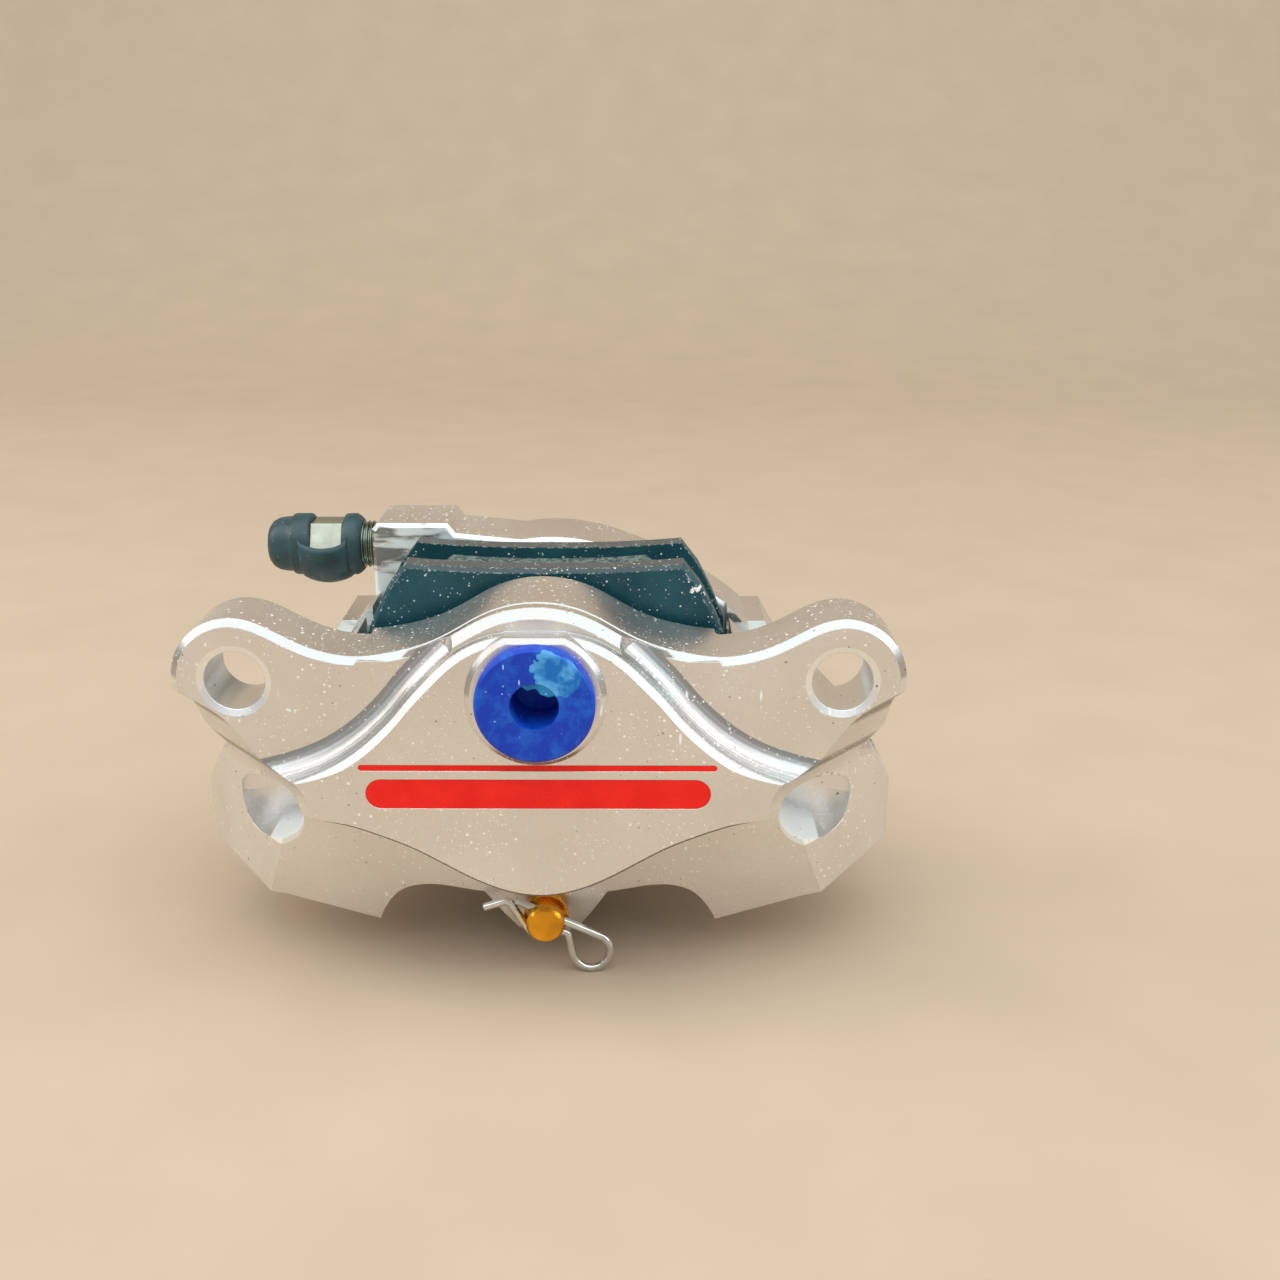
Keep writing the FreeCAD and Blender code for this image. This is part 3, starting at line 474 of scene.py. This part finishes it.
def plastic(name, deep, scuffed, rough, patch):
    """Moulded plastic: deep colour with pale scuffs, dust and an optional stressed patch."""
    s = Shader(name)
    cloud = s.noise(330, 5.0, 0.65)
    scratch = s.noise(700, 3.0, 0.6, stretch=(1, 0.2, 0.25), turn=(0.2, 0.7, 0.1))
    tone = s.mix(s.span(cloud, 0.45, 0.75, 0.0, 0.8), deep, scuffed)
    tone = s.mix(s.span(scratch, 0.62, 0.72, 0.0, 0.55), tone, scuffed)
    if patch:
        tone = stressed_patch(s, tone)
    dust = s.most(s.specks(900, 0.12, 0.5), s.specks(420, 0.06, 0.5, stretch=(1, 1, 0.3)))
    s.use("Base Color", s.mix(s.times(dust, 0.8), tone, (0.50, 0.70, 0.95)))
    s.use("Roughness", s.span(cloud, 0.3, 0.7, rough - 0.08, rough + 0.10))
    s.set(Specular_IOR_Level=0.3)
    s.use("Normal", s.bump(s.noise(2400, 3.0), 0.10, 0.00005, s.round_edges(0.0002)))
    return s.material


def paint_fill():
    """Slightly uneven red paint of the two stripes."""
    s = Shader("red_paint")
    cloud = s.noise(240, 3.0)
    tone = s.mix(s.span(cloud, 0.35, 0.65), (0.86, 0.010, 0.006), (0.96, 0.018, 0.010))
    s.use("Base Color", tone)
    s.use("Roughness", s.span(s.noise(1600, 3.0), 0.3, 0.7, 0.24, 0.36))
    s.set(Specular_IOR_Level=0.3)
    s.use("Normal", s.bump(s.noise(600, 3.0), 0.12, 0.00005, s.round_edges(0.0002)))
    return s.material


def pale_floor():
    """Matt warm paint with soft clouds."""
    s = Shader("floor_pale")
    s.set(Roughness=0.65)
    cloud = s.span(s.noise(40, 3.0), 0.3, 0.7)
    s.use("Base Color", s.mix(cloud, (0.49, 0.39, 0.285), (0.52, 0.415, 0.305)))
    return s.material


MATERIALS = {
    "aluminium_body": aluminium("aluminium_body", False),
    "piston_metal": turned_metal("piston_metal", (0.50, 0.49, 0.47), 0.35),
    "seal_rubber": rubber("seal_rubber", (0.014, 0.014, 0.014), 0.55),
    "pad_plate": dark_paint(),
    "pad_lining": friction(),
    "spring_steel": turned_metal("spring_steel", (0.72, 0.72, 0.72), 0.25),
    "orange_anodised": turned_metal("orange_anodised", (1.0, 0.46, 0.035), 0.30, 0.08),
    "clip_steel": turned_metal("clip_steel", (0.80, 0.80, 0.76), 0.17, 0.05),
    "bolt_steel": turned_metal("bolt_steel", (0.12, 0.12, 0.13), 0.38),
    "blue_plastic": plastic("blue_plastic", (0.003, 0.045, 0.50), (0.015, 0.18, 0.72), 0.40, True),
    "red_paint": paint_fill(),
    "zinc_steel": turned_metal("zinc_steel", (0.47, 0.50, 0.42), 0.36, 0.35),
    "cap_rubber": rubber("cap_rubber", (0.014, 0.044, 0.052), 0.46),
}
TEAL_PLASTIC = plastic("teal_plastic", (0.005, 0.12, 0.38), (0.02, 0.34, 0.70), 0.25, False)
THREAD_STEEL = turned_metal("thread_steel", (0.27, 0.33, 0.28), 0.28)
OWN_MATERIALS = {"rear_half": aluminium("aluminium_rear", True)}


def dress_nodes():
    """Gives every CAD node its own material, or the material of its slot."""
    for part in frame["record"]["subparts"]:
        mesh = NODES[part["node"]].data
        mesh.materials.clear()
        mesh.materials.append(OWN_MATERIALS.get(part["node"], MATERIALS[part["material_slot"]]))


# ---------------------------------------------------------------- mesh helpers

def box_mm(node):
    """Low and high corner of a CAD node's box, in millimetres."""
    return [tuple(v / MM for v in corner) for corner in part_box(node)]


def add_piece(name, mesh, body, slot, material=None, smooth=True):
    """Adds a mesh as a visible piece. A piece without a body is left unattached."""
    made = bpy.data.objects.new(name, mesh)
    bpy.context.scene.collection.objects.link(made)
    mesh.materials.append(material or MATERIALS[slot])
    if smooth:
        for face in mesh.polygons:
            face.use_smooth = True
    if body:
        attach(made, body)
    return made


def skin(bm, rings, closed_path):
    """Joins the rings. An open path gets a face at each end, a closed one returns to its start."""
    made = [[bm.verts.new(Vector(p) * MM) for p in ring] for ring in rings]
    count = len(made[0])
    pairs = list(zip(made, made[1:]))
    if closed_path:
        pairs.append((made[-1], made[0]))
    for a, b in pairs:
        for i in range(count):
            j = (i + 1) % count
            bm.faces.new((a[i], a[j], b[j], b[i]))
    if not closed_path:
        bm.faces.new(list(reversed(made[0])))
        bm.faces.new(made[-1])


def mesh_from(name, rings, closed_path=False):
    """Mesh of a tube through rings of points, given in millimetres."""
    made = bmesh.new()
    skin(made, rings, closed_path)
    bmesh.ops.remove_doubles(made, verts=made.verts, dist=1e-7)
    bmesh.ops.recalc_face_normals(made, faces=made.faces)
    mesh = bpy.data.meshes.new(name)
    made.to_mesh(mesh)
    made.free()
    return mesh


# ---------------------------------------------------------------- bleed screw cap and strap, in mm

SCREW_LOW, SCREW_HIGH = box_mm("bleed_screw")
AXIS_Y = (SCREW_LOW[1] + SCREW_HIGH[1]) / 2
AXIS_Z = (SCREW_LOW[2] + SCREW_HIGH[2]) / 2
CAP_NOSE = box_mm("bleed_cap")[0][0]
CAP_MOUTH = box_mm("bleed_cap")[1][0]
COLLAR_RIGHT = box_mm("cap_strap")[1][0]
TURNED_STEPS = 64
POLE_R = 0.02
RIM_R = 5.0
COLLAR_WIDTH = 3.0
COLLAR_HOLE_R = 3.1


def axis_point(x, r, angle):
    """Point at a radius and an angle round the bleed screw's axis."""
    return (x, AXIS_Y + r * math.cos(angle), AXIS_Z + r * math.sin(angle))


def turned(profile):
    """Rings of a shape turned about the bleed screw's axis, from (x, radius) pairs."""
    turn = [2 * math.pi * i / TURNED_STEPS for i in range(TURNED_STEPS)]
    return [[axis_point(x, r, a) for a in turn] for x, r in profile]


def rubber_cap():
    """Domed cap with a thicker rim round its mouth."""
    nose, mouth = CAP_NOSE, CAP_MOUTH
    dome = [(nose, POLE_R), (nose + 0.05, 1.9), (nose + 0.35, 3.0), (nose + 0.9, 3.75),
            (nose + 1.8, 4.25), (nose + 3.0, 4.45), (nose + 4.0, 4.5)]
    rim = [(nose + 4.25, 4.85), (nose + 4.6, RIM_R), (mouth - 0.35, RIM_R),
           (mouth - 0.08, 4.85), (mouth, 4.55)]
    inside = [(mouth, 3.5), (mouth - 0.3, 3.12), (nose + 2.4, 3.08), (nose + 2.2, POLE_R)]
    mesh = mesh_from("rubber_cap", turned(dome + rim + inside))
    piece = add_piece("rubber_cap", mesh, "cap", "cap_rubber")
    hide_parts("bleed_cap")


def rubber_collar():
    """Ring of the strap that sits in the neck of the bleed screw."""
    right = COLLAR_RIGHT
    left = right - COLLAR_WIDTH
    profile = [(left, COLLAR_HOLE_R), (left, 4.5), (left + 0.25, 4.9), (left + 0.9, RIM_R),
               (right - 1.1, RIM_R), (right - 0.6, 4.7), (right - 0.1, 4.2), (right, 3.8),
               (right, COLLAR_HOLE_R)]
    mesh = mesh_from("rubber_collar", turned(profile), closed_path=True)
    piece = add_piece("rubber_collar", mesh, "bleeder", "cap_rubber")
    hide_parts("cap_strap")


STRAP_START = CAP_MOUTH - 1.7
STRAP_END = COLLAR_RIGHT - 2.0
STRAP_R = 4.55
STRAP_BULGE = 1.2
STRAP_OUTER = 0.605
STRAP_INNER = 0.495
STRAP_END_ANGLE = 26
STRAP_NARROWING = 20
STEPS_ALONG = 28
STEPS_AROUND = 22


def strap_ring(u):
    """The strap's section at a share u of its length: a thick arc under the bleed screw."""
    middle = math.sin(math.pi * u)
    radius = STRAP_R + STRAP_BULGE * middle ** 0.7
    rise = math.radians(STRAP_END_ANGLE - STRAP_NARROWING * middle ** 0.45)
    x = STRAP_START + (STRAP_END - STRAP_START) * u
    first = math.pi - rise
    sweep = 2 * rise + math.pi
    shares = [k / STEPS_AROUND for k in range(STEPS_AROUND + 1)]
    outer = [axis_point(x, radius + STRAP_OUTER, first + sweep * v) for v in shares]
    inner = [axis_point(x, radius - STRAP_INNER, first + sweep * (1 - v)) for v in shares]
    return outer + inner


def rubber_strap():
    """Curved band under the hexagon, from the rim of the cap to the collar."""
    rings = [strap_ring(i / STEPS_ALONG) for i in range(STEPS_ALONG + 1)]
    piece = add_piece("rubber_strap", mesh_from("rubber_strap", rings), None, "cap_rubber")
    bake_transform(piece)


def bleed_threads():
    """Thread turns that show between the collar and the body."""
    turns, pitch, root, crest = 4, 0.72, 3.4, 3.78
    first = COLLAR_RIGHT + 2.6
    profile = []
    for k in range(turns):
        x = first - pitch * k
        profile += [(x, root), (x - 0.22, crest), (x - 0.36, crest), (x - 0.58, root)]
    mesh = mesh_from("bleed_threads", turned(profile))
    add_piece("bleed_threads", mesh, "bleeder", "zinc_steel", THREAD_STEEL, smooth=False)


# ---------------------------------------------------------------- plug tab, in mm

TAB_MIDDLE_X = 0.8
TAB_MIDDLE_Z = 2.8
TAB_LAYERS = ((0.9, 1.0), (0.25, 1.0), (0.12, 0.9))
TAB_OUTLINE = ((-1.9, 3.0), (-1.0, 2.3), (0.2, 2.6), (0.9, 1.7), (1.9, 1.3), (3.0, 1.6),
               (3.2, 2.6), (1.8, 3.3), (0.0, 3.6))


def plug_tab():
    """Torn moulding tab that hangs into the upper right of the plug's hole."""
    low, high = box_mm("inlet_plug")
    middle_x = (low[0] + high[0]) / 2 + TAB_MIDDLE_X
    middle_z = (low[2] + high[2]) / 2 + TAB_MIDDLE_Z
    rings = []
    for depth, scale in TAB_LAYERS:
        rings.append([(middle_x + (x - TAB_MIDDLE_X) * scale, low[1] + depth,
                       middle_z + (z - TAB_MIDDLE_Z) * scale) for x, z in TAB_OUTLINE])
    mesh = mesh_from("plug_tab", rings)
    add_piece("plug_tab", mesh, "plug", "blue_plastic", TEAL_PLASTIC, smooth=False)


# ---------------------------------------------------------------- floor, lights, camera, in metres

FLOOR_HALF_WIDTH = 2.5
FLOOR_NEAR_Y = -1.6
FLOOR_BEND_Y = 0.55
FLOOR_BEND_R = 0.5
FLOOR_BEND_STEPS = 16
BACKDROP_HEIGHT = 2.2

SENSOR_MM = 36.0
LENS_MM = 39.375
CAMERA_PLACE = (0.01407, -0.18056, 0.06783)
CAMERA_DOWN = 18.85
CAMERA_ROLL = -0.1
CAMERA_TURN = 0.06


def floor():
    """Plain pale table that curves up into a backdrop."""
    low = CAD_BOX[0][2]
    line = [(FLOOR_NEAR_Y, low), (FLOOR_BEND_Y, low)]
    for i in range(1, FLOOR_BEND_STEPS + 1):
        a = math.pi / 2 * i / FLOOR_BEND_STEPS
        rise = FLOOR_BEND_R * (1 - math.cos(a))
        line.append((FLOOR_BEND_Y + FLOOR_BEND_R * math.sin(a), low + rise))
    line.append((FLOOR_BEND_Y + FLOOR_BEND_R, low + BACKDROP_HEIGHT))
    points = [(x, y, z) for y, z in line for x in (-FLOOR_HALF_WIDTH, FLOOR_HALF_WIDTH)]
    faces = [(2 * i, 2 * i + 1, 2 * i + 3, 2 * i + 2) for i in range(len(line) - 1)]
    mesh = bpy.data.meshes.new("floor")
    mesh.from_pydata(points, [], faces)
    for face in mesh.polygons:
        face.use_smooth = True
    mesh.materials.append(pale_floor())
    made = bpy.data.objects.new("floor", mesh)
    bpy.context.scene.collection.objects.link(made)


def area(name, place, target, size, power, color):
    """Rectangular light that points at a target."""
    data = bpy.data.lights.new(name, "AREA")
    data.shape = "RECTANGLE"
    data.size, data.size_y = size
    data.energy = power
    data.color = color
    made = bpy.data.objects.new(name, data)
    made.location = place
    made.rotation_euler = (Vector(target) - Vector(place)).to_track_quat("-Z", "Y").to_euler()
    bpy.context.scene.collection.objects.link(made)


def light():
    """Warm room light, a large cool light above the front and a small one on each side."""
    world = bpy.data.worlds.new("studio")
    bpy.context.scene.world = world
    world.use_nodes = True
    back = world.node_tree.nodes["Background"]
    back.inputs["Color"].default_value = (0.95, 0.93, 0.90, 1.0)
    back.inputs["Strength"].default_value = 0.55
    area("top_box", (0.0, -0.40, 1.15), (0, -0.1, 0), (2.5, 1.7), 24.0, (0.93, 0.98, 1.0))
    area("left_box", (-0.62, 0.05, 0.35), (0, 0, 0), (0.35, 0.4), 1.6, (1.0, 0.97, 0.93))
    area("right_box", (0.62, -0.10, 0.30), (0, 0, 0), (0.30, 0.4), 1.2, (0.96, 0.98, 1.0))
    bpy.context.scene.view_settings.view_transform = "Standard"


def camera():
    """Camera in front of the ears, a little above and to the right of the middle."""
    data = bpy.data.cameras.new("camera")
    data.sensor_width = SENSOR_MM
    data.lens = LENS_MM
    data.clip_start = 0.01
    made = bpy.data.objects.new("camera", data)
    made.location = CAMERA_PLACE
    turn = (90 - CAMERA_DOWN, CAMERA_ROLL, CAMERA_TURN)
    made.rotation_euler = [math.radians(angle) for angle in turn]
    bpy.context.scene.collection.objects.link(made)
    bpy.context.scene.camera = made


dress_nodes()
rubber_cap()
rubber_collar()
rubber_strap()
bleed_threads()
plug_tab()
floor()
light()
camera()
